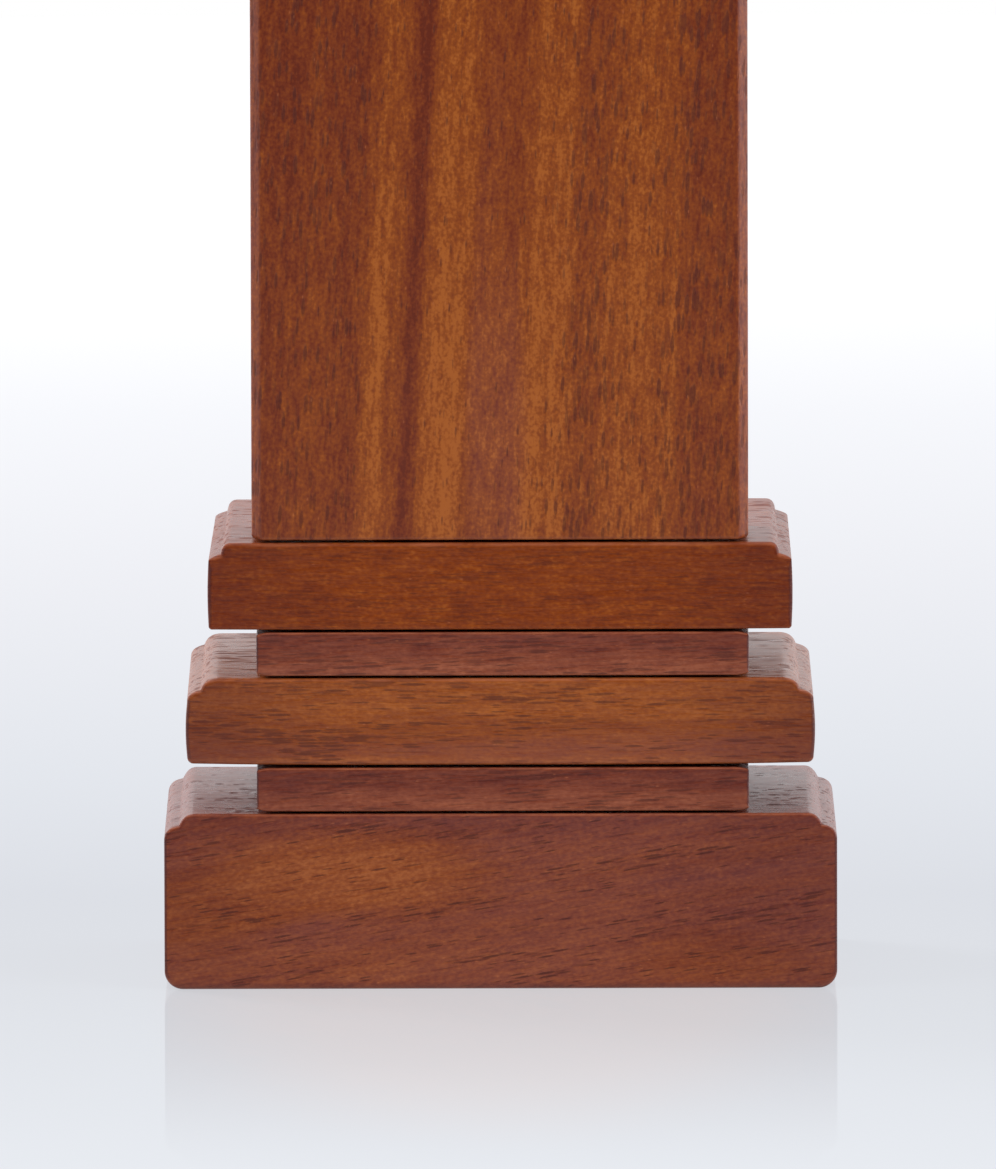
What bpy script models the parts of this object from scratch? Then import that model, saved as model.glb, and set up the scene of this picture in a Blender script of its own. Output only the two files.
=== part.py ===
"""Memorial tablet on a three-tier stepped base, in lacquered rosewood.

A plain upright board stands on a base of three moulded tiers, kept apart by two
narrower neck blocks.  All the front faces lie in one plane.  Two hidden dowels
line the base up, and the board lifts out of a mortise by its tenon.

Units are metres, +Z is up, the front faces -Y and +X is to the viewer's right.
The origin is at the middle of the base's underside.
"""

import bmesh
import bpy
from math import cos, pi, radians, sin
from mathutils import Matrix

MM = 0.001

# Driving dimensions of the base
BASE_DEPTH = 50.0 * MM
BOTTOM_TIER_WIDTH = 80.0 * MM
MIDDLE_TIER_WIDTH = 74.8 * MM
UPPER_TIER_WIDTH = 69.5 * MM
BOTTOM_TIER_HEIGHT = 21.0 * MM
TIER_HEIGHT = 10.4 * MM
NECK_WIDTH = 58.5 * MM
NECK_HEIGHT = 5.2 * MM
JOINT_GAP = 0.3 * MM

# Driving dimensions of the tablet board and its tenon
PANEL_WIDTH = 59.0 * MM
PANEL_THICKNESS = 20.0 * MM
PANEL_HEIGHT = 121.0 * MM
PANEL_EDGE_RADIUS = 1.1 * MM
TENON_WIDTH = 30.0 * MM
TENON_THICKNESS = 8.0 * MM
TENON_LENGTH = 13.0 * MM
MORTISE_CLEARANCE = 0.3 * MM
MORTISE_DEPTH = 14.0 * MM

# Hidden dowels
DOWEL_RADIUS = 3.0 * MM
DOWEL_SPACING = 44.0 * MM
DOWEL_HOLE_CLEARANCE = 0.3 * MM
DOWEL_IN_BOTTOM_TIER = 10.0 * MM
DOWEL_IN_UPPER_TIER = 6.0 * MM
DOWEL_END_SPACE = 1.0 * MM
DOWEL_CHAMFER = 0.6 * MM
DOWEL_SIDES = 24

# Finish of the edges: the pulls shape the curves of the moulding
ROLL_PULL = 0.6
SHOULDER_PULL_IN = 0.1
SHOULDER_PULL_UP = 0.35
ARRIS = 0.3 * MM
NECK_CORNER = 0.6 * MM
ARC_STEPS = 4
WELD_DISTANCE = 0.00001
OVERSHOOT = 2.0 * MM
SMOOTH_ANGLE = radians(35.0)

# The moulding along both sides of each tier: a roll runs down to a small step, and a
# shoulder runs from the step out to the side.  step_in is how far the step lies in from
# the side, roll_end how far in the flat top ends, and the drops are measured from the top.
MOULDINGS = {
    "upper_tier": {"step_in": 1.6 * MM, "step_drop": 1.35 * MM, "roll_end": 2.8 * MM,
                   "shoulder_drop": 2.2 * MM, "foot_radius": 0.42 * MM},
    "middle_tier": {"step_in": 1.8 * MM, "step_drop": 1.36 * MM, "roll_end": 3.9 * MM,
                    "shoulder_drop": 2.8 * MM, "foot_radius": 0.75 * MM},
    "bottom_tier": {"step_in": 1.76 * MM, "step_drop": 1.38 * MM, "roll_end": 3.4 * MM,
                    "shoulder_drop": 3.0 * MM, "foot_radius": 2.2 * MM},
}

# Heights of the pieces' undersides, from the floor up
LOWER_NECK_BOTTOM = BOTTOM_TIER_HEIGHT + JOINT_GAP
MIDDLE_TIER_BOTTOM = LOWER_NECK_BOTTOM + NECK_HEIGHT + JOINT_GAP
UPPER_NECK_BOTTOM = MIDDLE_TIER_BOTTOM + TIER_HEIGHT + JOINT_GAP
UPPER_TIER_BOTTOM = UPPER_NECK_BOTTOM + NECK_HEIGHT + JOINT_GAP
UPPER_TIER_TOP = UPPER_TIER_BOTTOM + TIER_HEIGHT
PANEL_BOTTOM = UPPER_TIER_TOP + JOINT_GAP

FRONT = -BASE_DEPTH / 2
PANEL_MIDDLE_Y = FRONT + PANEL_THICKNESS / 2

PANEL_COLOUR = (0.22, 0.060, 0.019)
TIER_COLOUR = (0.19, 0.050, 0.018)
NECK_COLOUR = (0.18, 0.050, 0.030)
DOWEL_COLOUR = (0.55, 0.38, 0.20)


def clear_scene():
    """Remove whatever the scene holds."""
    for item in list(bpy.data.objects):
        bpy.data.objects.remove(item, do_unlink=True)


def make_collection(name):
    """A new collection in the scene."""
    collection = bpy.data.collections.new(name)
    bpy.context.scene.collection.children.link(collection)
    return collection


def wood(name, colour, roughness):
    """A wood material with its own colour and sheen."""
    material = bpy.data.materials.new(name)
    material.use_nodes = True
    shader = material.node_tree.nodes["Principled BSDF"]
    shader.inputs["Base Color"].default_value = (*colour, 1.0)
    shader.inputs["Roughness"].default_value = roughness
    shader.inputs["Metallic"].default_value = 0.0
    return material


def arc(centre_x, centre_y, radius, start, end):
    """Points of a round corner, from one angle to the other."""
    angles = [start + (end - start) * step / ARC_STEPS for step in range(ARC_STEPS + 1)]
    return [(centre_x + radius * cos(angle), centre_y + radius * sin(angle)) for angle in angles]


def sweep(start, pull, end):
    """Points of a curve that leaves start towards pull and arrives at end from it."""
    points = []
    for step in range(ARC_STEPS + 1):
        along = step / ARC_STEPS
        weights = ((1 - along) ** 2, 2 * along * (1 - along), along ** 2)
        points.append(tuple(weights[0] * start[axis] + weights[1] * pull[axis]
                            + weights[2] * end[axis] for axis in (0, 1)))
    return points


def mirrored_outline(right_half):
    """Close an outline from its right half, given from the bottom up."""
    left_half = [(-x, y) for x, y in reversed(right_half)]
    return right_half + left_half


def tier_outline(width, height, moulding):
    """Front view of a tier, with its underside at zero."""
    side = width / 2
    step = (side - moulding["step_in"], height - moulding["step_drop"])
    roll_pull = (step[0] - ROLL_PULL * (moulding["roll_end"] - moulding["step_in"]), height)
    roll_top = (side - moulding["roll_end"], height)
    shoulder_pull = (side - SHOULDER_PULL_IN * moulding["step_in"],
                     step[1] - SHOULDER_PULL_UP * moulding["step_drop"])
    shoulder_foot = (side, height - moulding["shoulder_drop"])
    foot = arc(side - moulding["foot_radius"], moulding["foot_radius"],
               moulding["foot_radius"], -pi / 2, 0.0)
    shoulder = sweep(shoulder_foot, shoulder_pull, step)
    roll = sweep(step, roll_pull, roll_top)
    return mirrored_outline(foot + shoulder + roll[1:])


def neck_outline():
    """Front view of a neck block, with its underside at zero."""
    side = NECK_WIDTH / 2
    foot = arc(side - NECK_CORNER, NECK_CORNER, NECK_CORNER, -pi / 2, 0.0)
    return mirrored_outline(foot + [(side, NECK_HEIGHT)])


def panel_outline():
    """Plan view of the tablet board, with all four long edges rounded."""
    side = PANEL_WIDTH / 2 - PANEL_EDGE_RADIUS
    face = PANEL_THICKNESS / 2 - PANEL_EDGE_RADIUS
    front_edge = arc(side, -face, PANEL_EDGE_RADIUS, -pi / 2, 0.0)
    back_edge = arc(side, face, PANEL_EDGE_RADIUS, 0.0, pi / 2)
    return mirrored_outline(front_edge + back_edge)


def board(name, outline, thickness, placement, collection, material):
    """A flat outline made thick, with its outer edges eased, as a mesh object."""
    curve = bpy.data.curves.new(name, "CURVE")
    curve.dimensions = "2D"
    curve.fill_mode = "BOTH"
    curve.extrude = thickness / 2 - ARRIS
    curve.bevel_depth = ARRIS
    curve.bevel_resolution = 1
    curve.offset = -ARRIS
    spline = curve.splines.new("POLY")
    spline.points.add(len(outline) - 1)
    for point, (x, y) in zip(spline.points, outline):
        point.co = (x, y, 0.0, 1.0)
    spline.use_cyclic_u = True
    drawn = bpy.data.objects.new(name + "_outline", curve)
    drawn.matrix_world = placement
    bpy.context.scene.collection.objects.link(drawn)
    bpy.context.view_layer.update()
    evaluated = drawn.evaluated_get(bpy.context.evaluated_depsgraph_get())
    mesh = bpy.data.meshes.new_from_object(evaluated)
    bpy.data.objects.remove(drawn, do_unlink=True)
    return mesh_object(name, mesh, placement, collection, material)


def mesh_object(name, mesh, placement, collection, material):
    """Weld a mesh, shade it and put it in its place as a named object."""
    shape = bmesh.new()
    shape.from_mesh(mesh)
    bmesh.ops.remove_doubles(shape, verts=shape.verts, dist=WELD_DISTANCE)
    bmesh.ops.recalc_face_normals(shape, faces=shape.faces)
    shape.to_mesh(mesh)
    shape.free()
    mesh.shade_smooth()
    mesh.set_sharp_from_angle(angle=SMOOTH_ANGLE)
    mesh.materials.clear()
    mesh.materials.append(material)
    item = bpy.data.objects.new(name, mesh)
    item.matrix_world = placement
    collection.objects.link(item)
    return item


def block(name, size, centre, collection, material):
    """A plain rectangular block."""
    shape = bmesh.new()
    bmesh.ops.create_cube(shape, size=1.0)
    bmesh.ops.scale(shape, vec=size, verts=shape.verts)
    mesh = bpy.data.meshes.new(name)
    shape.to_mesh(mesh)
    shape.free()
    return mesh_object(name, mesh, Matrix.Translation(centre), collection, material)


def rod(name, radius, bottom, top, x, collection, material):
    """An upright round rod at mid depth."""
    shape = bmesh.new()
    bmesh.ops.create_cone(shape, cap_ends=True, segments=DOWEL_SIDES, radius1=radius,
                          radius2=radius, depth=top - bottom)
    mesh = bpy.data.meshes.new(name)
    shape.to_mesh(mesh)
    shape.free()
    centre = (x, 0.0, (bottom + top) / 2)
    return mesh_object(name, mesh, Matrix.Translation(centre), collection, material)


def as_cutter(item):
    """Mark an object as one that only shapes others."""
    item.hide_render = True
    item.display_type = "WIRE"
    return item


def combine(item, other, operation):
    """Add a Boolean modifier that works another object into this one."""
    modifier = item.modifiers.new(other.name, "BOOLEAN")
    modifier.operation = operation
    modifier.object = other


def facing_front(height_from, depth_middle=0.0):
    """Stand an outline drawn in front view upright, facing -Y."""
    return Matrix.Translation((0.0, depth_middle, height_from)) @ Matrix.Rotation(pi / 2, 4, "X")


def build_tier(name, width, height, bottom, parts):
    """One moulded tier of the base."""
    outline = tier_outline(width, height, MOULDINGS[name])
    material = wood(name + "_wood", TIER_COLOUR, 0.32)
    return board(name, outline, BASE_DEPTH, facing_front(bottom), parts, material)


def build_neck(name, bottom, parts):
    """One neck block between two tiers."""
    material = wood(name + "_wood", NECK_COLOUR, 0.38)
    return board(name, neck_outline(), BASE_DEPTH, facing_front(bottom), parts, material)


def build_panel(parts, cutters):
    """The tablet board, in one piece with the tenon under it."""
    middle = (0.0, PANEL_MIDDLE_Y, PANEL_BOTTOM + PANEL_HEIGHT / 2)
    material = wood("tablet_panel_wood", PANEL_COLOUR, 0.30)
    panel = board("tablet_panel", panel_outline(), PANEL_HEIGHT, Matrix.Translation(middle),
                  parts, material)
    root_length = TENON_LENGTH + OVERSHOOT
    tenon_middle = (0.0, PANEL_MIDDLE_Y, PANEL_BOTTOM + OVERSHOOT - root_length / 2)
    tenon = block("tenon", (TENON_WIDTH, TENON_THICKNESS, root_length), tenon_middle,
                  cutters, material)
    combine(panel, as_cutter(tenon), "UNION")


def build_mortise(upper_tier, upper_neck, cutters):
    """The slot that takes the tenon, through the upper tier into the upper neck."""
    size = (TENON_WIDTH + 2 * MORTISE_CLEARANCE, TENON_THICKNESS + 2 * MORTISE_CLEARANCE,
            MORTISE_DEPTH + OVERSHOOT)
    middle = (0.0, PANEL_MIDDLE_Y, UPPER_TIER_TOP + OVERSHOOT - size[2] / 2)
    slot = block("mortise", size, middle, cutters, upper_tier.data.materials[0])
    as_cutter(slot)
    combine(upper_tier, slot, "DIFFERENCE")
    combine(upper_neck, slot, "DIFFERENCE")


def build_dowels(pieces, parts, cutters):
    """Two dowels through the base, each with its drilled hole."""
    material = wood("dowel_wood", DOWEL_COLOUR, 0.6)
    bottom = BOTTOM_TIER_HEIGHT - DOWEL_IN_BOTTOM_TIER
    top = UPPER_TIER_BOTTOM + DOWEL_IN_UPPER_TIER
    for side, x in (("left", -DOWEL_SPACING / 2), ("right", DOWEL_SPACING / 2)):
        dowel = rod("dowel_" + side, DOWEL_RADIUS, bottom, top, x, parts, material)
        chamfer = dowel.modifiers.new("chamfer", "BEVEL")
        chamfer.width = DOWEL_CHAMFER
        chamfer.segments = 1
        chamfer.limit_method = "ANGLE"
        chamfer.angle_limit = radians(60.0)
        hole = rod("dowel_hole_" + side, DOWEL_RADIUS + DOWEL_HOLE_CLEARANCE,
                   bottom - DOWEL_END_SPACE, top + DOWEL_END_SPACE, x, cutters, material)
        as_cutter(hole)
        for piece in pieces:
            combine(piece, hole, "DIFFERENCE")


def build():
    """Make the whole tablet."""
    clear_scene()
    parts = make_collection("memorial_tablet")
    cutters = make_collection("cutters")
    bottom_tier = build_tier("bottom_tier", BOTTOM_TIER_WIDTH, BOTTOM_TIER_HEIGHT, 0.0, parts)
    lower_neck = build_neck("lower_neck", LOWER_NECK_BOTTOM, parts)
    middle_tier = build_tier("middle_tier", MIDDLE_TIER_WIDTH, TIER_HEIGHT,
                             MIDDLE_TIER_BOTTOM, parts)
    upper_neck = build_neck("upper_neck", UPPER_NECK_BOTTOM, parts)
    upper_tier = build_tier("upper_tier", UPPER_TIER_WIDTH, TIER_HEIGHT,
                            UPPER_TIER_BOTTOM, parts)
    build_panel(parts, cutters)
    build_mortise(upper_tier, upper_neck, cutters)
    build_dowels((bottom_tier, lower_neck, middle_tier, upper_neck, upper_tier), parts, cutters)


build()
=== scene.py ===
"""Looks of the memorial tablet: lacquered rosewood, moulded base, studio floor and light.

Lengths are in metres, as in the frame; the wood's figure is drawn in millimetres.
"""

from math import cos, pi, radians, sin

import bmesh
import bpy
from mathutils import Matrix, Vector


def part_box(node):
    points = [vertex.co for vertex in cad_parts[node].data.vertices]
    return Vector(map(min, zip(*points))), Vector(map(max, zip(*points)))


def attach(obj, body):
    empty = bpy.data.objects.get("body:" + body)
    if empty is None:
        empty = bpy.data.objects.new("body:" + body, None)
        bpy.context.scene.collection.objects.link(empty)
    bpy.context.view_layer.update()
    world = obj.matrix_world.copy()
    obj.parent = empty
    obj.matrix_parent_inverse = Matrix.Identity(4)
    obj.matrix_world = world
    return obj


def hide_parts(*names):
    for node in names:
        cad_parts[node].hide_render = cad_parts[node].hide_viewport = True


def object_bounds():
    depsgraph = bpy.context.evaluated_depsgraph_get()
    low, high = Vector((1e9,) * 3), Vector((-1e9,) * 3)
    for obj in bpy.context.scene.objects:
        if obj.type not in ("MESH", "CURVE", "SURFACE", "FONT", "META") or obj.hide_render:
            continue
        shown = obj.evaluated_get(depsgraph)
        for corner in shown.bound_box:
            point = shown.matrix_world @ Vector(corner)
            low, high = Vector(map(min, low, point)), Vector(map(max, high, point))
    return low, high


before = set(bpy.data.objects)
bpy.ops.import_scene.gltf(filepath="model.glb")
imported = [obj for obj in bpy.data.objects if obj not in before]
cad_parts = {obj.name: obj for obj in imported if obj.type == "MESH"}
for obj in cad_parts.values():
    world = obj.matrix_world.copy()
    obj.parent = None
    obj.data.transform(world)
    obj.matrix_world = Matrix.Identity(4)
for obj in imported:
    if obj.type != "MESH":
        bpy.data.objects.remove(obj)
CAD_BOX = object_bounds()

MM = 0.001

# Places and sizes read from the frame
FRONT = CAD_BOX[0].y
UPPER_TIER_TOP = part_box("upper_tier")[1].z
JOINT_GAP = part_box("lower_neck")[0].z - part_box("bottom_tier")[1].z
PANEL_LOW, PANEL_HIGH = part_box("tablet_panel")
PANEL_FOOT = UPPER_TIER_TOP + JOINT_GAP

# The tenon and its mortise
TENON_WIDTH = 30.0 * MM
TENON_THICKNESS = 8.0 * MM
TENON_CHAMFER = 0.6 * MM
TENON_ROOT = 2.0 * MM
MORTISE_CLEARANCE = 0.3 * MM
MORTISE_DEPTH = 14.0 * MM
MORTISE_OVERCUT = 5.0 * MM

# Fineness of curves, flats and rounded edges.  SUPPORT is how close the narrow faces lie that
# keep a flat's shading flat, and MOST_SUPPORT the largest share of the flat that they take.
CURVE_STEPS = 10
COVE_STEPS = 4
FLAT_STEPS = 6
LONG_FLAT_STEPS = 8
ARRIS_STEPS = 6
SUPPORT = 0.06 * MM
MOST_SUPPORT = 0.2
LEAST_SPACING = 0.001 * MM
SMOOTH_ANGLE = radians(32.0)

# How an edge's rounding gives way where its outline turns tightly: the share of the room that
# it takes, the turn that counts, the least rounding, and how fast it grows back
TIGHTNESS = 0.8
LEAST_TURN = 0.001
LEAST_ARRIS = 0.08 * MM
EASING = 0.5

# How many of its radii the foot's rounding reaches up a tier, and how much of the wear and
# painted highlight reaches the edges that face down
FOOT_REACH = 4
LOWER_WEAR_AND_HIGHLIGHT = 0.45

# The moulding and the worked edges of each tier, seen from the front.  Pairs are distances in
# from the side and down from the top: the notch where roll and shoulder meet, the point that
# pulls the roll over and the one that pulls the shoulder round.  roll_end is how far in the
# flat top begins and shoulder_drop how far down the side ends; foot is the lower corner's
# radius, and foot_arris and top_arris are how far the front and back edges are rounded low
# down and above.  bow is how far the sides swell, lift how far the underside rises at its ends
# and left_taper how much narrower the back is at the left.
TIERS = {
    "upper_tier": {"notch": (1.60 * MM, 1.35 * MM), "roll_pull": (1.78 * MM, 0.0),
                   "roll_end": 2.8 * MM, "shoulder_pull": (0.05 * MM, 1.80 * MM),
                   "shoulder_drop": 2.2 * MM, "foot": 0.42 * MM, "foot_arris": 0.34 * MM,
                   "top_arris": 0.56 * MM, "bow": 0.12 * MM, "lift": 0.06 * MM,
                   "left_taper": 0.4 * MM},
    "middle_tier": {"notch": (1.80 * MM, 1.36 * MM), "roll_pull": (2.30 * MM, 0.0),
                    "roll_end": 3.9 * MM, "shoulder_pull": (0.10 * MM, 1.78 * MM),
                    "shoulder_drop": 2.8 * MM, "foot": 0.75 * MM, "foot_arris": 0.6 * MM,
                    "top_arris": 0.50 * MM, "bow": 0.18 * MM, "lift": 0.22 * MM,
                    "left_taper": 0.0},
    "bottom_tier": {"notch": (1.76 * MM, 1.38 * MM), "roll_pull": (2.42 * MM, 0.0),
                    "roll_end": 3.4 * MM, "shoulder_pull": (0.10 * MM, 1.66 * MM),
                    "shoulder_drop": 3.0 * MM, "foot": 2.2 * MM, "foot_arris": 0.75 * MM,
                    "top_arris": 0.38 * MM, "bow": 0.0, "lift": 0.0, "left_taper": 0.0},
}
COVE = 0.10 * MM
LIFT_POWER = 4

# The necks, which stand a little to the right of the tiers' middle, and the board.  Their
# corners draw in by EASED_DROP over EASED_REACH.
NECK_CORNER = 0.2 * MM
NECK_ARRIS = 0.3 * MM
NECK_OFFSET = Vector((0.28 * MM, 0.0, 0.0))
EASED_REACH = 1.7 * MM
EASED_DROP = 0.24 * MM
PANEL_BEVEL = 1.15 * MM
PANEL_BEVEL_SOFTNESS = 0.25 * MM
PANEL_ARRIS = 0.4 * MM


# ---------------------------------------------------------------- outlines

def clamped(share):
    """A share held between none and the whole."""
    return min(max(share, 0.0), 1.0)


def arc(centre, radius, start, end):
    """Points of a round corner, from one angle to the other."""
    angles = [start + (end - start) * step / CURVE_STEPS for step in range(CURVE_STEPS + 1)]
    return [(centre[0] + radius * cos(a), centre[1] + radius * sin(a)) for a in angles]


def sweep(start, pull, end, steps=CURVE_STEPS):
    """Points of a curve that leaves start towards pull and arrives at end from it."""
    points = []
    for step in range(steps + 1):
        along = step / steps
        weights = ((1 - along) ** 2, 2 * along * (1 - along), along ** 2)
        points.append(tuple(weights[0] * start[i] + weights[1] * pull[i] + weights[2] * end[i]
                            for i in (0, 1)))
    return points


def flat(start, end, steps=FLAT_STEPS):
    """Points of a flat stretch, close together at both ends so that its shading stays flat."""
    run = Vector(end) - Vector(start)
    inset = min(SUPPORT / run.length, MOST_SUPPORT)
    shares = [0.0, inset] + [step / steps for step in range(1, steps)] + [1.0 - inset, 1.0]
    return [tuple(Vector(start) + run * share) for share in shares]


def mirrored(right_half):
    """A whole outline from its right half, given from the bottom middle to the top middle."""
    left_half = [(-x, y) for x, y in reversed(right_half)]
    return right_half[:-1] + left_half[:-1]


def without_repeats(points):
    """The outline's points with each point that repeats the last one left out."""
    kept = [points[0]]
    for point in points[1:]:
        if (Vector(point) - Vector(kept[-1])).length > LEAST_SPACING:
            kept.append(point)
    return kept


def towards(start, end, distance):
    """The point a given distance from start in the direction of end."""
    return tuple(Vector(start) + (Vector(end) - Vector(start)).normalized() * distance)


def tier_outline(low, high, shape):
    """Front view of a moulded tier."""
    side = high.x

    def from_corner(pair):
        return (side - pair[0], high.z - pair[1])

    notch = from_corner(shape["notch"])
    roll_pull = from_corner(shape["roll_pull"])
    shoulder_pull = from_corner(shape["shoulder_pull"])
    roll_top = (side - shape["roll_end"], high.z)
    shoulder_end = towards(notch, shoulder_pull, COVE)
    roll_start = towards(notch, roll_pull, COVE)

    foot = shape["foot"]
    floor = low.z + shape["lift"]
    flat_end = side - shape["bow"] - foot
    underside = [(x, low.z + shape["lift"] * (x / flat_end) ** LIFT_POWER)
                 for x, _ in flat((0.0, low.z), (flat_end, low.z), LONG_FLAT_STEPS)]
    corner = arc((flat_end, floor + foot), foot, -pi / 2, 0.0)
    shoulder_foot = (corner[-1][0], high.z - shape["shoulder_drop"])
    rise = flat(corner[-1], shoulder_foot, LONG_FLAT_STEPS)
    middle = (rise[0][1] + rise[-1][1]) / 2
    reach = (rise[-1][1] - rise[0][1]) / 2
    bowed = [(x + shape["bow"] * (1 - ((z - middle) / reach) ** 2), z) for x, z in rise]
    shoulder = sweep(bowed[-1], shoulder_pull, shoulder_end)
    cove = sweep(shoulder_end, notch, roll_start, COVE_STEPS)
    roll = sweep(roll_start, roll_pull, roll_top)
    top = flat(roll_top, (0.0, high.z), LONG_FLAT_STEPS)
    return mirrored(without_repeats(underside + corner + bowed + shoulder + cove + roll + top))


def eased_corner(side, level, inner):
    """A corner that draws in long and shallow before it turns, from the flat to the side."""
    bend = level + inner * EASED_DROP
    draw_in = sweep((side - EASED_REACH, level), (side - EASED_REACH / 2, level),
                    (side - NECK_CORNER, bend))
    return draw_in + sweep(draw_in[-1], (side, bend + inner * NECK_CORNER / 2),
                           (side, bend + inner * NECK_CORNER * 1.5))


def neck_outline(low, high):
    """Front view of a neck block."""
    side = high.x
    lower = eased_corner(side, low.z, 1)
    upper = list(reversed(eased_corner(side, high.z, -1)))
    underside = flat((0.0, low.z), lower[0])
    rise = flat(lower[-1], upper[0])
    top = flat(upper[-1], (0.0, high.z))
    return mirrored(without_repeats(underside + lower + rise + upper + top))


def panel_outline(low, high):
    """Plan view of the board: a flat bevel with softened corners runs up each long edge."""
    side = high.x
    bevel = PANEL_BEVEL
    soft = PANEL_BEVEL_SOFTNESS
    front = flat((0.0, low.y), (side - bevel - soft, low.y))
    front_bend = sweep((side - bevel - soft, low.y), (side - bevel, low.y),
                       (side - bevel + soft, low.y + soft))
    side_bend = sweep((side - soft, low.y + bevel - soft), (side, low.y + bevel),
                      (side, low.y + bevel + soft))
    right = flat((side, low.y + bevel + soft), (side, high.y - bevel - soft))
    back_side_bend = sweep((side, high.y - bevel - soft), (side, high.y - bevel),
                           (side - soft, high.y - bevel + soft))
    back_bend = sweep((side - bevel + soft, high.y - soft), (side - bevel, high.y),
                      (side - bevel - soft, high.y))
    back = flat((side - bevel - soft, high.y), (0.0, high.y))
    return mirrored(without_repeats(front + front_bend + side_bend + right + back_side_bend
                                    + back_bend + back))


# ---------------------------------------------------------------- solids

def inward_normals(outline):
    """Unit directions into the outline at each of its points, for an anticlockwise outline."""
    normals = []
    count = len(outline)
    for index in range(count):
        before = Vector(outline[index]) - Vector(outline[index - 1])
        after = Vector(outline[(index + 1) % count]) - Vector(outline[index])
        tangent = before.normalized() + after.normalized()
        normals.append(Vector((-tangent.y, tangent.x)).normalized())
    return normals


def arris_radii(outline, wanted):
    """The rounding at each point, eased down where the outline turns too tightly for it."""
    count = len(outline)
    spans = [(Vector(outline[(index + 1) % count]) - Vector(outline[index]))
             for index in range(count)]
    radii = []
    for index, point in enumerate(outline):
        turn = spans[index].angle_signed(spans[index - 1])
        length = (spans[index].length + spans[index - 1].length) / 2
        room = length / turn - SUPPORT if turn > LEAST_TURN else wanted(point) / TIGHTNESS
        radii.append(min(wanted(point), max(TIGHTNESS * room, LEAST_ARRIS)))
    for step in range(2 * count):
        index, after = step % count, (step + 1) % count
        radii[after] = min(radii[after], radii[index] + EASING * spans[index].length)
    for step in range(2 * count):
        index, before = -step % count, (-step - 1) % count
        radii[before] = min(radii[before], radii[index] + EASING * spans[before].length)
    return radii


def board_shape(outline, near, far, arris_at, to_space):
    """An outline made thick between near and far, with its edges rounded off.

    arris_at gives the rounding at a point of the outline, and to_space turns a point of the
    outline and a depth into a place.  The vertex layer "edge" is 1 along the edges that face
    up and down, which are drawn lighter as wear with a painted highlight, and -1 along the
    edges at the sides, which are drawn darker.
    """
    shape = bmesh.new()
    edge = shape.verts.layers.float.new("edge")
    normals = inward_normals(outline)
    radii = arris_radii(outline, arris_at)

    def ring(turn, spare, end, inner):
        """One loop round the board: turn is how far round its rounded edge it lies."""
        made = []
        for point, normal, radius in zip(outline, normals, radii):
            inset = radius * (1 - cos(turn)) + spare
            place = Vector(point) + normal * inset
            vertex = shape.verts.new(to_space(place, end + inner * radius * (1 - sin(turn))))
            facing = 2 * abs(normal.y) - 1
            # Edges facing up take the full lighter colour, partly wear and partly painted
            # highlight; edges facing down take less
            rubbed_and_highlighted = min(facing, LOWER_WEAR_AND_HIGHLIGHT) if normal.y > 0 else facing
            vertex[edge] = rubbed_and_highlighted * sin(2 * turn) if spare == 0.0 else 0.0
            made.append(vertex)
        return made

    turns = [pi / 2 * step / ARRIS_STEPS for step in range(ARRIS_STEPS + 1)]
    rings = [ring(pi / 2, SUPPORT, near, 1)]
    rings += [ring(turn, 0.0, near, 1) for turn in reversed(turns)]
    rings += [ring(0.0, 0.0, near + SUPPORT, 1), ring(0.0, 0.0, far - SUPPORT, -1)]
    rings += [ring(turn, 0.0, far, -1) for turn in turns]
    rings += [ring(pi / 2, SUPPORT, far, -1)]
    for first, second in zip(rings, rings[1:]):
        for index in range(len(outline)):
            after = (index + 1) % len(outline)
            shape.faces.new((first[index], first[after], second[after], second[index]))
    shape.faces.new(rings[0])
    shape.faces.new(list(reversed(rings[-1])))
    bmesh.ops.recalc_face_normals(shape, faces=shape.faces)
    return shape


def front_view(point, depth):
    """Place of a point drawn in front view."""
    return (point[0], depth, point[1])


def plan_view(point, height):
    """Place of a point drawn in plan view."""
    return (point[0], point[1], height)


def block_shape(low, high, bevel=0.0):
    """A rectangular block between two corners, with its edges bevelled."""
    shape = bmesh.new()
    bmesh.ops.create_cube(shape, size=1.0)
    bmesh.ops.scale(shape, vec=high - low, verts=shape.verts)
    bmesh.ops.translate(shape, vec=(low + high) / 2, verts=shape.verts)
    if bevel:
        bmesh.ops.bevel(shape, geom=shape.edges[:], offset=bevel, segments=2,
                        affect="EDGES", profile=0.5)
    return shape


def to_object(name, shape):
    """A mesh object from a bmesh, in the scene."""
    mesh = bpy.data.meshes.new(name)
    shape.to_mesh(mesh)
    shape.free()
    item = bpy.data.objects.new(name, mesh)
    bpy.context.scene.collection.objects.link(item)
    return item


def join_in(item, other, operation):
    """Joins a second object to the first or cuts it out, for good, and removes the second."""
    modifier = item.modifiers.new("work", "BOOLEAN")
    modifier.operation = operation
    modifier.object = other
    bpy.context.view_layer.update()
    evaluated = item.evaluated_get(bpy.context.evaluated_depsgraph_get())
    worked = bpy.data.meshes.new_from_object(evaluated)
    item.modifiers.clear()
    item.data = worked
    bpy.data.objects.remove(other, do_unlink=True)


def finish_piece(item, material, node, body):
    """Shades a piece, gives it its material and sets it in the frame in its node's place."""
    item.data.shade_smooth()
    item.data.set_sharp_from_angle(angle=SMOOTH_ANGLE)
    item.data.materials.clear()
    item.data.materials.append(material)
    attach(item, body)
    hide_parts(node)
    return item


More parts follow.
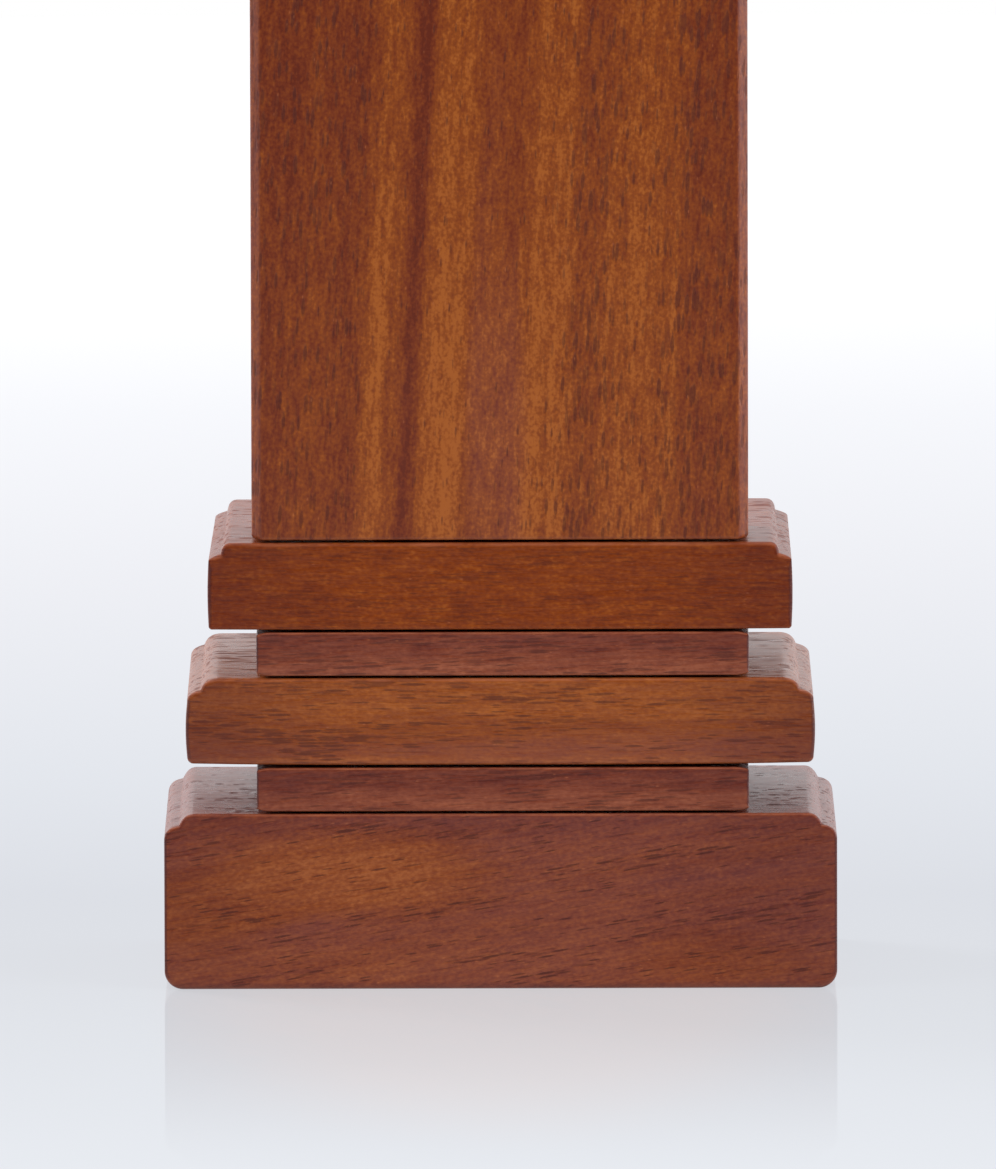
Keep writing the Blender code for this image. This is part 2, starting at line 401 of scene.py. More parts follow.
def tier_piece(node):
    """One moulded tier."""
    low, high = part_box(node)
    shape = TIERS[node]

    def arris_at(point):
        rise = clamped((point[1] - low.z) / (FOOT_REACH * shape["foot_arris"]))
        blend = rise * rise * (3 - 2 * rise)
        return shape["foot_arris"] + (shape["top_arris"] - shape["foot_arris"]) * blend

    solid = board_shape(tier_outline(low, high, shape), low.y, high.y, arris_at, front_view)
    for vertex in solid.verts:
        leftness = clamped(-vertex.co.x / high.x)
        backness = (vertex.co.y - low.y) / (high.y - low.y)
        vertex.co.x += shape["left_taper"] * leftness * backness
    return to_object(node.replace("_tier", "_moulded_tier"), solid)


def neck_piece(node):
    """One neck block."""
    low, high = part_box(node)
    solid = board_shape(neck_outline(low, high), low.y, high.y,
                        lambda point: NECK_ARRIS, front_view)
    bmesh.ops.translate(solid, vec=NECK_OFFSET, verts=solid.verts)
    return to_object(node + "_block", solid)


def panel_piece():
    """The tablet board with its tenon."""
    low = Vector((PANEL_LOW.x, PANEL_LOW.y, PANEL_FOOT))
    solid = board_shape(panel_outline(low, PANEL_HIGH), low.z, PANEL_HIGH.z,
                        lambda point: PANEL_ARRIS, plan_view)
    for vertex in solid.verts:
        if vertex.co.z < low.z + EASED_REACH:
            outness = max(abs(vertex.co.x) / EASED_REACH - PANEL_HIGH.x / EASED_REACH + 1, 0.0)
            vertex.co.z += EASED_DROP * outness ** 2
    board = to_object("tablet_board", solid)
    middle_y = (low.y + PANEL_HIGH.y) / 2
    tenon_low = Vector((-TENON_WIDTH / 2, middle_y - TENON_THICKNESS / 2, PANEL_LOW.z))
    tenon_high = Vector((TENON_WIDTH / 2, middle_y + TENON_THICKNESS / 2, low.z + TENON_ROOT))
    tenon = to_object("tenon", block_shape(tenon_low, tenon_high, TENON_CHAMFER))
    join_in(board, tenon, "UNION")
    return board


def mortise_cutter():
    """The block that leaves the mortise."""
    middle_y = (PANEL_LOW.y + PANEL_HIGH.y) / 2
    half_width = TENON_WIDTH / 2 + MORTISE_CLEARANCE
    half_depth = TENON_THICKNESS / 2 + MORTISE_CLEARANCE
    low = Vector((-half_width, middle_y - half_depth, UPPER_TIER_TOP - MORTISE_DEPTH))
    high = Vector((half_width, middle_y + half_depth, UPPER_TIER_TOP + MORTISE_OVERCUT))
    return to_object("mortise", block_shape(low, high))


# ---------------------------------------------------------------- node wiring

def colour(red, green, blue):
    """A colour given as screen values from 0 to 255, as light, by the sRGB curve."""
    light = []
    for value in (red, green, blue):
        share = value / 255
        light.append(share / 12.92 if share <= 0.04045 else ((share + 0.055) / 1.055) ** 2.4)
    return (*light, 1.0)


WHITE = colour(255, 255, 255)

# Sockets of a Mix node that mixes colours
MIX_SHARE, MIX_FIRST, MIX_SECOND = 0, 6, 7
MIX_RESULT = 2


class Wiring:
    """Adds nodes to one material or world and joins them up."""

    def __init__(self, owner):
        self.tree = owner.node_tree
        self.tree.nodes.clear()

    def feed(self, socket, value):
        """Joins a socket to another, or sets it to a plain value."""
        if isinstance(value, bpy.types.NodeSocket):
            self.tree.links.new(value, socket)
        else:
            socket.default_value = value

    def add(self, kind, inputs, **settings):
        """A new node with its settings and inputs."""
        node = self.tree.nodes.new(kind)
        for name, value in settings.items():
            setattr(node, name, value)
        for name, value in inputs.items():
            self.feed(node.inputs[name], value)
        return node

    def math(self, operation, first, second=0.0, third=0.0):
        node = self.add("ShaderNodeMath", {0: first, 1: second, 2: third}, operation=operation)
        return node.outputs[0]

    def plus(self, *values):
        total = values[0]
        for value in values[1:]:
            total = self.math("ADD", total, value)
        return total

    def times(self, first, second):
        return self.math("MULTIPLY", first, second)

    def vector_math(self, operation, output, first, second):
        node = self.add("ShaderNodeVectorMath", {0: first, 1: second}, operation=operation)
        return node.outputs[output]

    def along(self, place, direction):
        """How far a place lies in a direction."""
        return self.vector_math("DOT_PRODUCT", "Value", place, direction)

    def vector(self, x, y, z):
        return self.add("ShaderNodeCombineXYZ", {0: x, 1: y, 2: z}).outputs[0]

    def here(self):
        """The place on the object, in metres."""
        return self.add("ShaderNodeTexCoord", {}).outputs["Object"]

    def here_in_mm(self):
        """The place on the object, in millimetres."""
        node = self.add("ShaderNodeVectorMath", {0: self.here(), "Scale": 1 / MM},
                        operation="SCALE")
        return node.outputs[0]

    def stretched(self, place, size, shift=(0.0, 0.0, 0.0)):
        """The place measured in cells of the given size."""
        scaled = self.add("ShaderNodeVectorMath", {0: place, 1: tuple(1 / s for s in size),
                                                   2: shift}, operation="MULTIPLY_ADD")
        return scaled.outputs[0]

    def noise(self, place, size, detail=2.0, rough=0.5, shift=(0.0, 0.0, 0.0)):
        """Soft noise about zero, with features of the given size."""
        node = self.add("ShaderNodeTexNoise",
                        {"Vector": self.stretched(place, size, shift), "Scale": 1.0,
                         "Detail": detail, "Roughness": rough})
        return self.math("SUBTRACT", node.outputs[0], 0.5)

    def ease(self, value, low, high, at_low=0.0, at_high=1.0):
        """A smooth step from one value to another."""
        node = self.add("ShaderNodeMapRange",
                        {"Value": value, "From Min": low, "From Max": high,
                         "To Min": at_low, "To Max": at_high},
                        interpolation_type="SMOOTHSTEP")
        return node.outputs[0]

    def ramp(self, value, stops):
        """A colour that follows a value from stop to stop."""
        node = self.add("ShaderNodeValToRGB", {"Fac": value})
        elements = node.color_ramp.elements
        while len(elements) < len(stops):
            elements.new(0.5)
        for element, (place, tint) in zip(elements, stops):
            element.position = place
            element.color = tint
        return node.outputs[0]

    def mix(self, share, first, second, blend="MIX"):
        """A share of the second colour over the first."""
        node = self.add("ShaderNodeMix", {}, data_type="RGBA", blend_type=blend)
        self.feed(node.inputs[MIX_SHARE], share)
        self.feed(node.inputs[MIX_FIRST], first)
        self.feed(node.inputs[MIX_SECOND], second)
        return node.outputs[MIX_RESULT]

    def mix_shaders(self, share, first, second):
        node = self.add("ShaderNodeMixShader", {0: share, 1: first, 2: second})
        return node.outputs[0]

    def finish(self, kind, surface):
        """Makes a shader the material's or the world's surface."""
        self.add(kind, {"Surface": surface})

    def dashes(self, place, size, reach, soft, shift):
        """Short strokes along the grain: 1 inside and 0 outside, each with its own strength.

        reach is how far each stroke extends from its middle, in cells of the given size.
        """
        cells = self.add("ShaderNodeTexVoronoi",
                         {"Vector": self.stretched(place, size, shift), "Scale": 1.0,
                          "Randomness": 1.0}, feature="F1")
        rim = self.math("ADD", reach, soft)
        inside = self.ease(cells.outputs["Distance"], reach, rim, 1.0, 0.0)
        strength = self.add("ShaderNodeSeparateColor", {0: cells.outputs["Color"]}).outputs[0]
        return self.times(inside, self.ease(strength, 0.0, 0.8, 0.25, 1.0))

    def profile(self, value, half, stops):
        """A value that follows a drawn profile from -half to half."""
        share = self.math("MULTIPLY_ADD", value, 0.5 / half, 0.5)
        greys = [(0.5 + place / (2 * half), (tone, tone, tone, 1.0)) for place, tone in stops]
        return self.ramp(share, greys)

    def patch(self, place, centre, radius, gain):
        """A soft lighter or darker patch, in millimetres across and up."""
        offsets = []
        for index, axis in enumerate(((1, 0, 0), (0, 0, 1))):
            offset = self.math("SUBTRACT", self.along(place, axis), centre[index])
            offsets.append(self.math("DIVIDE", offset, radius[index]))
        across, up = offsets
        away = self.plus(self.times(across, across), self.times(up, up))
        return self.ease(away, 0.0, 1.0, gain, 0.0)


def new_material(name):
    """An empty node material and its wiring."""
    material = bpy.data.materials.new(name)
    material.use_nodes = True
    return material, Wiring(material)


# ---------------------------------------------------------------- the wood's figure

# Colours from dark to light, each at its tone
WARM = [(0.0, colour(100, 38, 20)), (0.22, colour(114, 47, 22)), (0.46, colour(127, 58, 23)),
        (0.72, colour(142, 70, 23)), (1.0, colour(166, 90, 34))]
ORANGE = [(0.0, colour(93, 34, 17)), (0.25, colour(107, 43, 17)), (0.5, colour(121, 51, 16)),
          (0.75, colour(134, 60, 16)), (1.0, colour(152, 76, 23))]
ROSY = [(0.0, colour(86, 32, 24)), (0.25, colour(104, 43, 29)), (0.5, colour(121, 56, 36)),
        (0.75, colour(136, 69, 45)), (1.0, colour(156, 86, 58))]
MELLOW = [(0.0, colour(92, 34, 20)), (0.25, colour(108, 44, 23)), (0.5, colour(124, 57, 28)),
          (0.75, colour(140, 70, 32)), (1.0, colour(160, 88, 44))]
ROSE = colour(32, 28, 36)
BEECH = [(0.2, colour(176, 136, 92)), (0.8, colour(214, 178, 132))]

# Each noise of the wood: its size in millimetres along, across and into the board, unless the
# figure gives its own, its detail and roughness, and its place in the field of noise
NOISES = {
    "slow_sway": ((70.0, 16.0, 16.0), 1.0, 0.5, (2.1, 0.3)),
    "quick_sway": ((14.0, 5.0, 5.0), 1.0, 0.5, (5.7, 1.9)),
    "band": ((110.0, 2.6, 4.0), 2.0, 0.55, (0.7, 3.1)),
    "depth_band": ((120.0, 60.0, 1.5), 2.0, 0.55, (6.1, 7.9)),
    "streak": ((40.0, 0.8, 2.4), 3.0, 0.55, (9.2, 4.4)),
    "fibre": ((4.0, 0.40, 1.8), 2.0, 0.55, (1.2, 8.3)),
    "mottle": ((5.0, 1.1, 2.0), 2.0, 0.55, (4.2, 6.3)),
    "speckle": ((0.6, 0.4, 0.4), 1.0, 0.55, (8.8, 2.7)),
    "rosiness": ((30.0, 3.5, 4.0), 2.0, 0.5, (3.3, 5.5)),
    "drift": ((14.0, 2.2, 4.0), 3.0, 0.6, (7.7, 2.2)),
    "rubbing": ((4.0, 1.5, 1.5), 3.0, 0.65, (6.0, 9.0)),
    "polish": ((9.0, 9.0, 9.0), 2.0, 0.5, (0.0, 0.0)),
    "ridge": ((5.0, 1.3, 2.2), 3.0, 0.6, (2.0, 4.0)),
}
TONE_NOISES = ("band", "depth_band", "streak", "fibre", "mottle", "speckle")

# Each kind of short stroke: its size in the same way, its softness and its place
DASHES = {
    "pore": ((3.2, 0.30, 1.5), 0.2, (3.0, 1.0)),
    "stroke": ((16.0, 0.6, 2.2), 0.16, (8.0, 5.0)),
    "fleck": ((2.0, 0.9, 1.0), 0.10, (11.0, 7.0)),
}
STROKE_REACH = 0.05
FLECK_REACH = 0.04
LEAST_PORE_REACH = -0.12
CROWDED = (-0.14, 0.18)

# Where the painted shade towards the ends begins and ends, as shares of a piece's half width,
# and how the wear and painted highlight on the edges are spread
END_SHADED = (0.45, 1.02)
RUBBED_AND_HIGHLIGHTED = (-0.22, 0.22)
LEAST_WEAR_AND_HIGHLIGHT = 0.1

# The lacquer
LACQUER_IOR = 1.5
POLISH_ROUGHNESS = 0.06
PORE_ROUGHNESS = 0.2
FIBRE_ROUGHNESS = 0.1
PORE_RELIEF = -0.6
FIBRE_RELIEF = 0.3
RELIEF_DEPTH = 0.05 * MM

# In each figure the darkening towards the ends is painted shade, and the lighter top edges are
# partly wear and partly painted highlight
COMMON = {
    "shift": 0.0, "waver": 1.2, "quiver": 0.25, "patches": [], "rosy_patches": [],
    "band": 0.5, "depth_band": 0.25, "streak": 0.6, "fibre": 1.0, "mottle": 0.6,
    "speckle": 0.6, "rose": 0.0, "pore_drift": 0.05, "pore_reach": 0.55,
    "pore_depth": 0.55, "pore_colour": colour(66, 26, 22), "strokes": 0.6,
    "flecks": 0.4, "fleck_colour": colour(178, 104, 66),
    "stain": 0.2, "stain_colour": colour(82, 26, 25),
    "wear_and_highlight": 0.8, "highlight_and_wear_colour": colour(165, 92, 60),
    "side_edge_darkening": 0.75, "side_edge_dark_colour": colour(62, 26, 28),
    "specular": 0.32, "roughness": 0.28, "ridges": 1.8,
}

# The board's bands and its porous zones, from its left edge to its right, in millimetres
PANEL_HALF_WIDTH = 29.5
PANEL_BANDS = [(-29.5, 0.34), (-26.0, 0.30), (-22.2, 0.44), (-18.2, 0.27), (-16.2, 0.38),
               (-14.6, 0.72), (-13.5, 0.76), (-12.3, 0.50), (-11.4, 0.44), (-10.3, 0.04),
               (-9.6, 0.04), (-8.4, 0.60), (-7.0, 0.76), (-4.6, 0.74), (-2.6, 0.46),
               (0.2, 0.48), (1.5, 0.40), (3.0, 0.60), (4.6, 0.76), (6.4, 0.64),
               (7.6, 0.72), (9.8, 0.42), (11.4, 0.44), (12.8, 0.58), (17.4, 0.64),
               (19.0, 0.54), (20.7, 0.60), (22.4, 0.34), (29.5, 0.30)]
PANEL_PORES = [(-29.5, 0.8), (-17.0, 0.8), (-15.0, 0.35), (-9.0, 0.4), (-4.0, 0.4),
               (5.0, 0.45), (9.0, 0.9), (12.0, 1.0), (16.0, 0.6), (20.5, 0.9), (29.5, 1.0)]
PANEL_LEAN = 0.05
PANEL_MIDDLE = 86.0


def panel_figure():
    """The board's upright figure, whose bands lean a little to the right."""
    figure = dict(COMMON)
    figure.update({
        "along": (PANEL_LEAN, 0.0, 1.0), "across": (1.0, 0.0, -PANEL_LEAN),
        "shift": PANEL_LEAN * PANEL_MIDDLE, "waver": 1.0, "seed": 3.0,
        "half_width": PANEL_HALF_WIDTH, "bands": PANEL_BANDS, "pore_bands": PANEL_PORES,
        "colours": WARM, "band": 0.15, "depth_band": 0.45, "streak": 0.55,
        "fibre": 0.64, "fibre_size": (2.0, 0.5, 0.6),
        "mottle": 0.8, "mottle_size": (3.2, 1.1, 2.0),
        "speckle": 1.05, "speckle_size": (0.45, 0.4, 0.4),
        "drift_size": (5.0, 1.6, 3.0), "pore_drift": 0.1,
        "pore_size": (2.8, 0.55, 0.6), "pore_depth": 0.5,
        "stroke_size": (8.0, 0.8, 0.9), "strokes": 0.4,
        "rose": -0.33, "stain": 0.0, "side_edge_darkening": 0.2,
        "roughness": 0.32, "ridges": 1.0, "ridge_size": (10.0, 2.2, 2.2),
        # The patch and the wide rosy patch are a painted reflection of the floor: the board is
        # lighter and pinker low down
        "patches": [((0.0, 55.0), (200.0, 55.0), 0.14)],
        "rosy_patches": [((-0.5, 75.0), (4.5, 60.0), 0.6), ((0.0, 50.0), (60.0, 45.0), 0.35)],
    })
    return figure


def tilted(angle):
    """Directions along and across a grain that rises to the right."""
    return ((cos(angle), 0.0, sin(angle)), (-sin(angle), 0.0, cos(angle)))


def base_figure(node, rise=0.0, **changes):
    """The figure of one of the base's pieces, whose grain rises by an angle in degrees."""
    figure = dict(COMMON)
    figure["half_width"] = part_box(node)[1].x / MM
    figure["along"], figure["across"] = tilted(radians(rise))
    figure.update(changes)
    return figure


def figures():
    """Each node's figure."""
    made = {"tablet_panel": panel_figure()}
    made["upper_tier"] = base_figure(
        "upper_tier", seed=11.0, tone=0.62, colours=ORANGE, band=0.2, streak=0.36,
        fibre=0.56, mottle=0.75, mottle_size=(3.0, 1.8, 2.0), speckle=1.0, strokes=0.25,
        pore_depth=0.32, stain=0.4, rose=-0.32, specular=0.19)
    made["upper_neck"] = base_figure(
        "upper_neck", rise=2.0, seed=17.0, tone=0.56, colours=ROSY, band=0.2, streak=0.4,
        fibre=0.65, rose=0.15,
        # Painted shade darkens the neck's top, under the upper tier, and its foot is painted
        # lighter
        patches=[((0.0, 42.7), (300.0, 3.0), -0.12), ((0.0, 37.5), (300.0, 3.0), 0.22)])
    made["middle_tier"] = base_figure(
        "middle_tier", seed=23.0, tone=0.79, colours=WARM, band=0.12, streak=0.3,
        fibre=0.48, mottle=0.42, strokes=0.55, stroke_size=(24.0, 0.7, 2.2), stain=0.45,
        rose=-0.35, specular=0.34,
        # The patch at the bottom edge and the rosy patch are a painted reflection of the
        # floor: that edge is lighter and pinker
        patches=[((0.0, 29.0), (90.0, 4.5), -0.2), ((0.0, 26.8), (300.0, 1.3), 0.15)],
        rosy_patches=[((0.0, 26.8), (300.0, 6.0), 0.9)])
    made["lower_neck"] = base_figure(
        "lower_neck", rise=3.0, seed=29.0, tone=0.48, colours=ROSY, band=0.25, streak=0.45,
        fibre=0.65,
        # Painted shade darkens the neck's top, under the middle tier, and its foot is painted
        # lighter
        patches=[((0.0, 26.5), (300.0, 3.5), -0.16), ((0.0, 21.3), (300.0, 3.0), 0.2)])
    made["bottom_tier"] = base_figure(
        "bottom_tier", rise=9.0, seed=37.0, tone=0.51, colours=MELLOW, band=0.2, streak=0.4,
        fibre=0.42, fibre_size=(3.0, 0.36, 1.8), mottle=0.4, speckle=0.8, strokes=0.75,
        stroke_size=(11.0, 0.5, 2.0), pore_size=(3.0, 0.30, 1.5), pore_reach=0.5,
        pore_drift=0.0, pore_depth=0.68, stain=0.2, rose=0.66, specular=0.27,
        patches=[((-19.0, 14.0), (20.0, 6.0), 0.3), ((-37.0, 9.0), (14.0, 5.0), 0.12),
                 ((28.0, 12.0), (16.0, 9.0), -0.12), ((0.0, 21.0), (300.0, 4.0), -0.18),
                 ((0.0, 3.0), (300.0, 3.0), 0.08), ((0.0, 0.0), (300.0, 1.0), -0.3)],
        rosy_patches=[((-19.0, 14.0), (24.0, 7.0), -0.7), ((-37.0, 9.0), (16.0, 6.0), -0.6),
                      ((26.0, 4.0), (14.0, 4.0), -0.4)])
    return made


# ---------------------------------------------------------------- materials

def wood_noise(w, place, name, figure):
    """One of the wood's noises."""
    size, detail, rough, shift = NOISES[name]
    return w.noise(place, figure.get(name + "_size", size), detail, rough,
                   (figure["seed"], *shift))


def wood_dashes(w, grain, name, reach, figure):
    """One of the wood's kinds of short stroke."""
    size, soft, shift = DASHES[name]
    return w.dashes(grain, figure.get(name + "_size", size), reach, soft,
                    (figure["seed"], *shift))


def patched(w, value, place, patches):
    """A value with soft patches added to it."""
    for centre, radius, gain in patches:
        value = w.plus(value, w.patch(place, centre, radius, gain))
    return value


def grain_frame(w, place, figure):
    """Places along, across and into the board, following its gently wavering grain."""
    along = w.along(place, figure["along"])
    across = w.plus(w.along(place, figure["across"]), figure["shift"])
    inward = w.along(place, (0, 1, 0))
    straight = w.vector(along, across, inward)
    slow = wood_noise(w, straight, "slow_sway", figure)
    quick = wood_noise(w, straight, "quick_sway", figure)
    sway = w.plus(w.times(slow, figure["waver"]), w.times(quick, figure["quiver"]))
    swayed = w.plus(across, sway)
    return w.vector(along, swayed, inward), swayed


def wood_colour(w, place, grain, across, figure):
    """Colour of the bare wood between its pores, and the fine fibre that goes with it."""
    noises = {name: wood_noise(w, grain, name, figure) for name in TONE_NOISES}
    tone = w.plus(*(w.times(noises[name], figure[name]) for name in noises))
    if "bands" in figure:
        tone = w.plus(tone, w.profile(across, figure["half_width"], figure["bands"]))
    else:
        tone = w.plus(tone, figure["tone"])
    body = w.ramp(patched(w, tone, place, figure["patches"]), figure["colours"])
    rose = w.plus(wood_noise(w, grain, "rosiness", figure), figure["rose"])
    rose = patched(w, rose, place, figure["rosy_patches"])
    return w.mix(w.ease(rose, 0.0, 1.0), body, ROSE, "SCREEN"), noises["fibre"]


def pore_field(w, grain, across, figure):
    """Where the open pores lie: short fine ones in drifts, and a few long ones."""
    drift = wood_noise(w, grain, "drift", figure)
    crowd = w.ease(w.plus(drift, figure["pore_drift"]), *CROWDED)
    if "pore_bands" in figure:
        crowd = w.times(crowd, w.profile(across, figure["half_width"], figure["pore_bands"]))
    reach = w.math("MULTIPLY_ADD", crowd, figure["pore_reach"], LEAST_PORE_REACH)
    fine = wood_dashes(w, grain, "pore", reach, figure)
    coarse = wood_dashes(w, grain, "stroke", STROKE_REACH, figure)
    return w.math("MAXIMUM", fine, w.times(coarse, figure["strokes"]))


def weathered(w, body, place, grain, figure):
    """The wood's colour with painted shade towards its ends, wear with a painted highlight
    along its top edges, and darker side edges.
    """
    # Painted shade: each piece darkens towards both of its ends
    sideways = w.math("ABSOLUTE", w.along(place, (1, 0, 0)))
    begins, ends = (figure["half_width"] * share for share in END_SHADED)
    body = w.mix(w.ease(sideways, begins, ends, 0.0, figure["stain"]),
                 body, figure["stain_colour"])
    edge = w.add("ShaderNodeAttribute", {}, attribute_name="edge").outputs["Fac"]
    # Lighter top edges: partly wear, partly a painted highlight along the rounded arrises
    rubbed_and_highlighted = w.ease(wood_noise(w, grain, "rubbing", figure), *RUBBED_AND_HIGHLIGHTED,
                    LEAST_WEAR_AND_HIGHLIGHT, figure["wear_and_highlight"])
    body = w.mix(w.times(w.math("MAXIMUM", edge, 0.0), rubbed_and_highlighted), body, figure["highlight_and_wear_colour"])
    # The edges at the sides are drawn darker
    side_edge_darkening = w.times(w.math("MAXIMUM", w.times(edge, -1.0), 0.0), figure["side_edge_darkening"])
    return w.mix(side_edge_darkening, body, figure["side_edge_dark_colour"])


def wood_material(name, figure):
    """Satin-lacquered rosewood, whose lacquer sinks into the pores and follows the grain."""
    material, w = new_material(name)
    place = w.here_in_mm()
    grain, across = grain_frame(w, place, figure)
    body, fibre = wood_colour(w, place, grain, across, figure)
    pores = pore_field(w, grain, across, figure)
    body = w.mix(w.times(pores, figure["pore_depth"]), body, figure["pore_colour"])
    flecks = wood_dashes(w, grain, "fleck", FLECK_REACH, figure)
    body = w.mix(w.times(flecks, figure["flecks"]), body, figure["fleck_colour"])
    body = weathered(w, body, place, grain, figure)

    polish = wood_noise(w, place, "polish", figure)
    roughness = w.plus(w.times(polish, POLISH_ROUGHNESS), w.times(pores, PORE_ROUGHNESS),
                       w.times(fibre, FIBRE_ROUGHNESS), figure["roughness"])
    ridges = wood_noise(w, grain, "ridge", figure)
    relief = w.plus(w.times(pores, PORE_RELIEF), w.times(fibre, FIBRE_RELIEF),
                    w.times(ridges, figure["ridges"]))
    bump = w.add("ShaderNodeBump", {"Height": relief, "Strength": 1.0,
                                    "Distance": RELIEF_DEPTH})
    shader = w.add("ShaderNodeBsdfPrincipled",
                   {"Base Color": body, "Roughness": roughness, "Normal": bump.outputs[0],
                    "IOR": LACQUER_IOR, "Specular IOR Level": figure["specular"]})
    w.finish("ShaderNodeOutputMaterial", shader.outputs[0])
    return material


def dowel_material():
    """Bare beech, with its fibre upright."""
    material, w = new_material("beech")
    fibre = w.noise(w.here_in_mm(), (0.3, 0.3, 9.0), 3.0, 0.6)
    body = w.ramp(w.plus(fibre, 0.5), BEECH)
    bump = w.add("ShaderNodeBump", {"Height": fibre, "Strength": 0.3,
                                    "Distance": RELIEF_DEPTH})
    shader = w.add("ShaderNodeBsdfPrincipled",
                   {"Base Color": body, "Roughness": 0.7, "Normal": bump.outputs[0]})
    w.finish("ShaderNodeOutputMaterial", shader.outputs[0])
    return material


# ---------------------------------------------------------------- stage, light and camera

# The floor: a disc, and its tints by how far back they lie, as shares of its span
STAGE_MIDDLE_Y = 0.33
STAGE_RADIUS = 0.95
STAGE_SEGMENTS = 96
TINTS_BEGIN = -0.6
TINTS_SPAN = 1.6
FLOOR_TINTS = [(0.03, WHITE), (0.2, colour(229, 232, 237)), (0.34, colour(221, 224, 230)),
               (0.42, colour(215, 218, 225)), (0.50, colour(221, 224, 230)),
               (0.64, colour(231, 232, 237)), (0.78, colour(240, 241, 245)), (0.93, WHITE)]
MATT_SHARE = 0.08

# The painted warm bounce light that the wood throws on the floor in front of it
PAINTED_BOUNCE_REACH = (0.045, 0.16, 1.0)
PAINTED_BOUNCE_SHARE = 0.14
PAINTED_BOUNCE_TINT = colour(255, 222, 205)

# The floor's shine, near the base and where it ends
SHINE_REACH = (0.05, 0.21)
SHINE_SHARE = 0.178
SHINE_ROUGHNESS = 0.02

# The room's glows: direction, where each begins and is full, and its strength at both
GLOWS = (
    ((0, 1, 0), -0.4, 0.15, 0.02, 0.95),
    ((1, 0, 0), -0.6, -0.98, 0.0, 0.6),
    ((1, 0, 0), 0.7, 0.98, 0.0, 2.8),
    ((0, 0, 1), 0.5, 0.85, 0.0, 0.75),
)
ROOM_TINT = colour(250, 252, 255)

# The lamps: name, place, size and power, and the point they face
LAMPS = (
    ("key", (1.4, -1.0, 1.0), 0.9, 17.2),
    ("fill", (-1.5, -0.9, 0.8), 0.9, 14.9),
    ("side", (-1.1, 0.95, 0.8), 0.6, 24.0),
)
LIT_POINT = Vector((0.0, 0.0, 0.07))

# The camera
CAMERA_DISTANCE = 3.5
CAMERA_ELEVATION = radians(6.2)
CAMERA_ROLL = radians(-0.14)
CAMERA_AIM = Vector((-0.00024, FRONT, 0.0484))
CAMERA_REACH = (0.1, 20.0)
FRAME_HEIGHT = 0.1388
SENSOR = 36.0


def floor_material():
    """Pale floor that turns white with distance, and shines a little round the base."""
    material, w = new_material("pale_floor")
    place = w.here()
    depth = w.along(place, (0, 1, 0))
    tint = w.ramp(w.math("DIVIDE", w.plus(depth, -TINTS_BEGIN), TINTS_SPAN), FLOOR_TINTS)
    ahead = w.vector_math("SUBTRACT", 0, place, (0.0, FRONT, 0.0))
    reach = w.add("ShaderNodeVectorMath", {0: w.stretched(ahead, PAINTED_BOUNCE_REACH)},
                  operation="LENGTH").outputs["Value"]
    # Painted bounce light: the floor is tinted warm just in front of the tablet
    tint = w.mix(w.ease(reach, 0.5, 1.0, PAINTED_BOUNCE_SHARE, 0.0), tint, PAINTED_BOUNCE_TINT)
    glow = w.add("ShaderNodeEmission", {"Color": tint, "Strength": 1.0}).outputs[0]
    matt = w.add("ShaderNodeBsdfDiffuse", {"Color": tint}).outputs[0]
    away = w.vector_math("DISTANCE", "Value", place, (0.0, 0.0, 0.0))
    shine = w.add("ShaderNodeBsdfGlossy", {"Roughness": SHINE_ROUGHNESS}).outputs[0]
    surface = w.mix_shaders(w.ease(away, *SHINE_REACH, SHINE_SHARE, 0.0),
                            w.mix_shaders(MATT_SHARE, glow, matt), shine)
    w.finish("ShaderNodeOutputMaterial", surface)
    return material


def build_stage():
    """The floor, a wide disc that reaches further back than forward."""
    shape = bmesh.new()
    bmesh.ops.create_circle(shape, cap_ends=True, segments=STAGE_SEGMENTS,
                            radius=STAGE_RADIUS)
    bmesh.ops.translate(shape, vec=(0.0, STAGE_MIDDLE_Y, 0.0), verts=shape.verts)
    floor = to_object("floor", shape)
    floor.data.materials.append(floor_material())


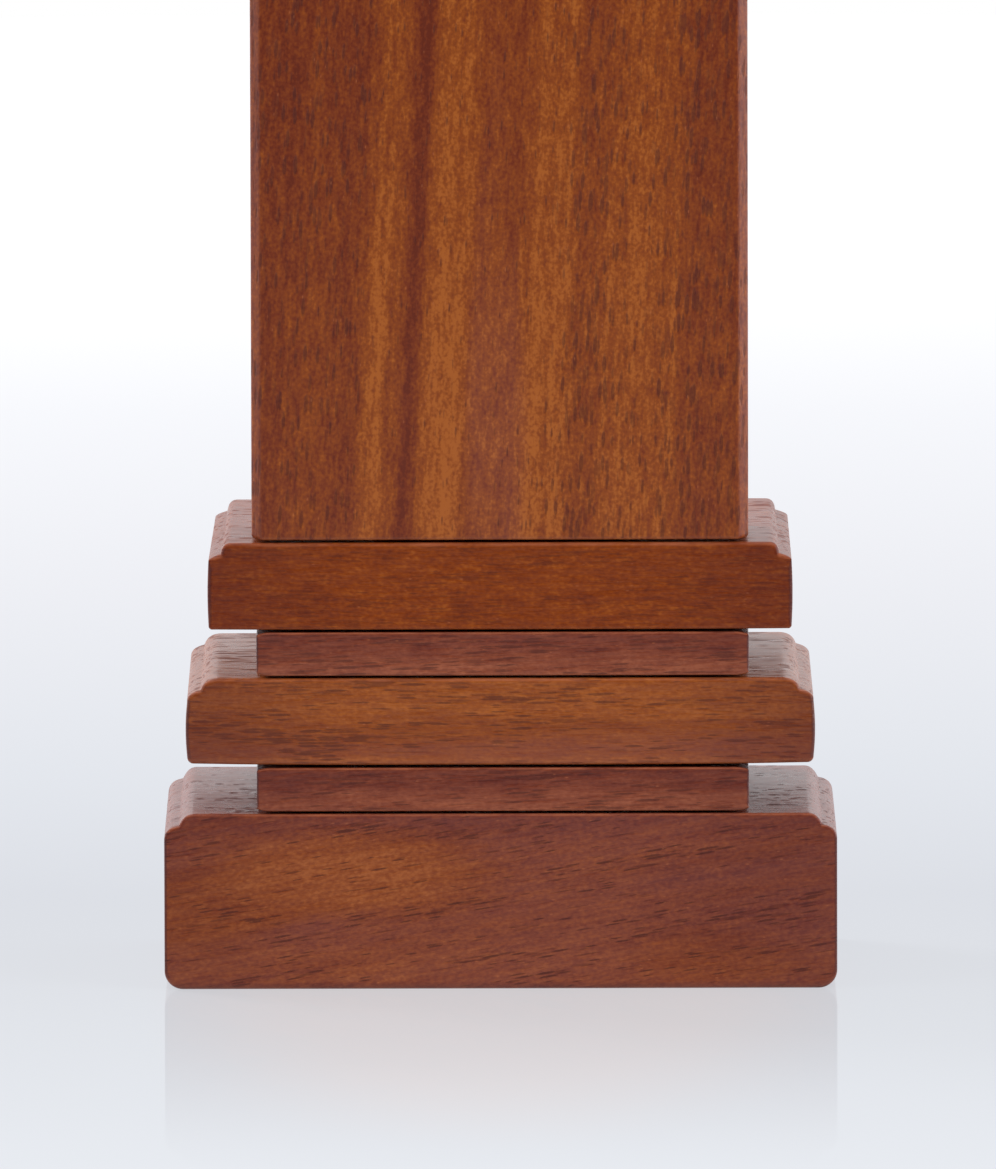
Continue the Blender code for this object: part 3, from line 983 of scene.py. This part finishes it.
def build_world():
    """Soft surroundings: bright behind, above and beside, dim on the camera's side."""
    world = bpy.data.worlds.new("studio")
    bpy.context.scene.world = world
    world.use_nodes = True
    w = Wiring(world)
    direction = w.add("ShaderNodeTexCoord", {}).outputs["Generated"]
    level = w.plus(*(w.ease(w.along(direction, axis), *span) for axis, *span in GLOWS))
    soft = w.add("ShaderNodeBackground", {"Color": ROOM_TINT, "Strength": level}).outputs[0]
    seen = w.add("ShaderNodeBackground", {"Color": WHITE, "Strength": 1.0}).outputs[0]
    sight = w.add("ShaderNodeLightPath", {}).outputs["Is Camera Ray"]
    w.finish("ShaderNodeOutputWorld", w.mix_shaders(sight, soft, seen))


def build_lamp(name, place, size, power):
    """A square soft light that faces the tablet."""
    lamp = bpy.data.lights.new(name, "AREA")
    lamp.shape = "SQUARE"
    lamp.size = size
    lamp.energy = power
    item = bpy.data.objects.new(name, lamp)
    item.location = place
    aim = LIT_POINT - Vector(place)
    item.rotation_euler = aim.to_track_quat("-Z", "Y").to_euler()
    item.visible_glossy = False
    bpy.context.scene.collection.objects.link(item)


def build_camera():
    """A long lens, level with the photographer's eye, a little above the base."""
    data = bpy.data.cameras.new("camera")
    data.sensor_width = SENSOR
    data.lens = SENSOR * CAMERA_DISTANCE / FRAME_HEIGHT
    data.clip_start, data.clip_end = CAMERA_REACH
    camera = bpy.data.objects.new("camera", data)
    back = Vector((0.0, -cos(CAMERA_ELEVATION), sin(CAMERA_ELEVATION)))
    turn = (-back).to_track_quat("-Z", "Y").to_matrix().to_4x4()
    place = Matrix.Translation(CAMERA_AIM + back * CAMERA_DISTANCE)
    camera.matrix_world = place @ turn @ Matrix.Rotation(CAMERA_ROLL, 4, "Z")
    bpy.context.scene.collection.objects.link(camera)
    bpy.context.scene.camera = camera


# ---------------------------------------------------------------- the scene

build_camera()
build_stage()
build_world()
for lamp_values in LAMPS:
    build_lamp(*lamp_values)
bpy.context.scene.view_settings.view_transform = "Standard"

pieces = {node: tier_piece(node) for node in TIERS}
pieces.update({node: neck_piece(node) for node in ("upper_neck", "lower_neck")})
pieces["tablet_panel"] = panel_piece()
for node in ("upper_tier", "upper_neck"):
    join_in(pieces[node], mortise_cutter(), "DIFFERENCE")
for node, figure in figures().items():
    body = "panel" if node == "tablet_panel" else "base"
    finish_piece(pieces[node], wood_material(node + "_lacquered", figure), node, body)
beech = dowel_material()
for node in ("dowel_left", "dowel_right"):
    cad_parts[node].material_slots[0].material = beech

bpy.context.view_layer.update()
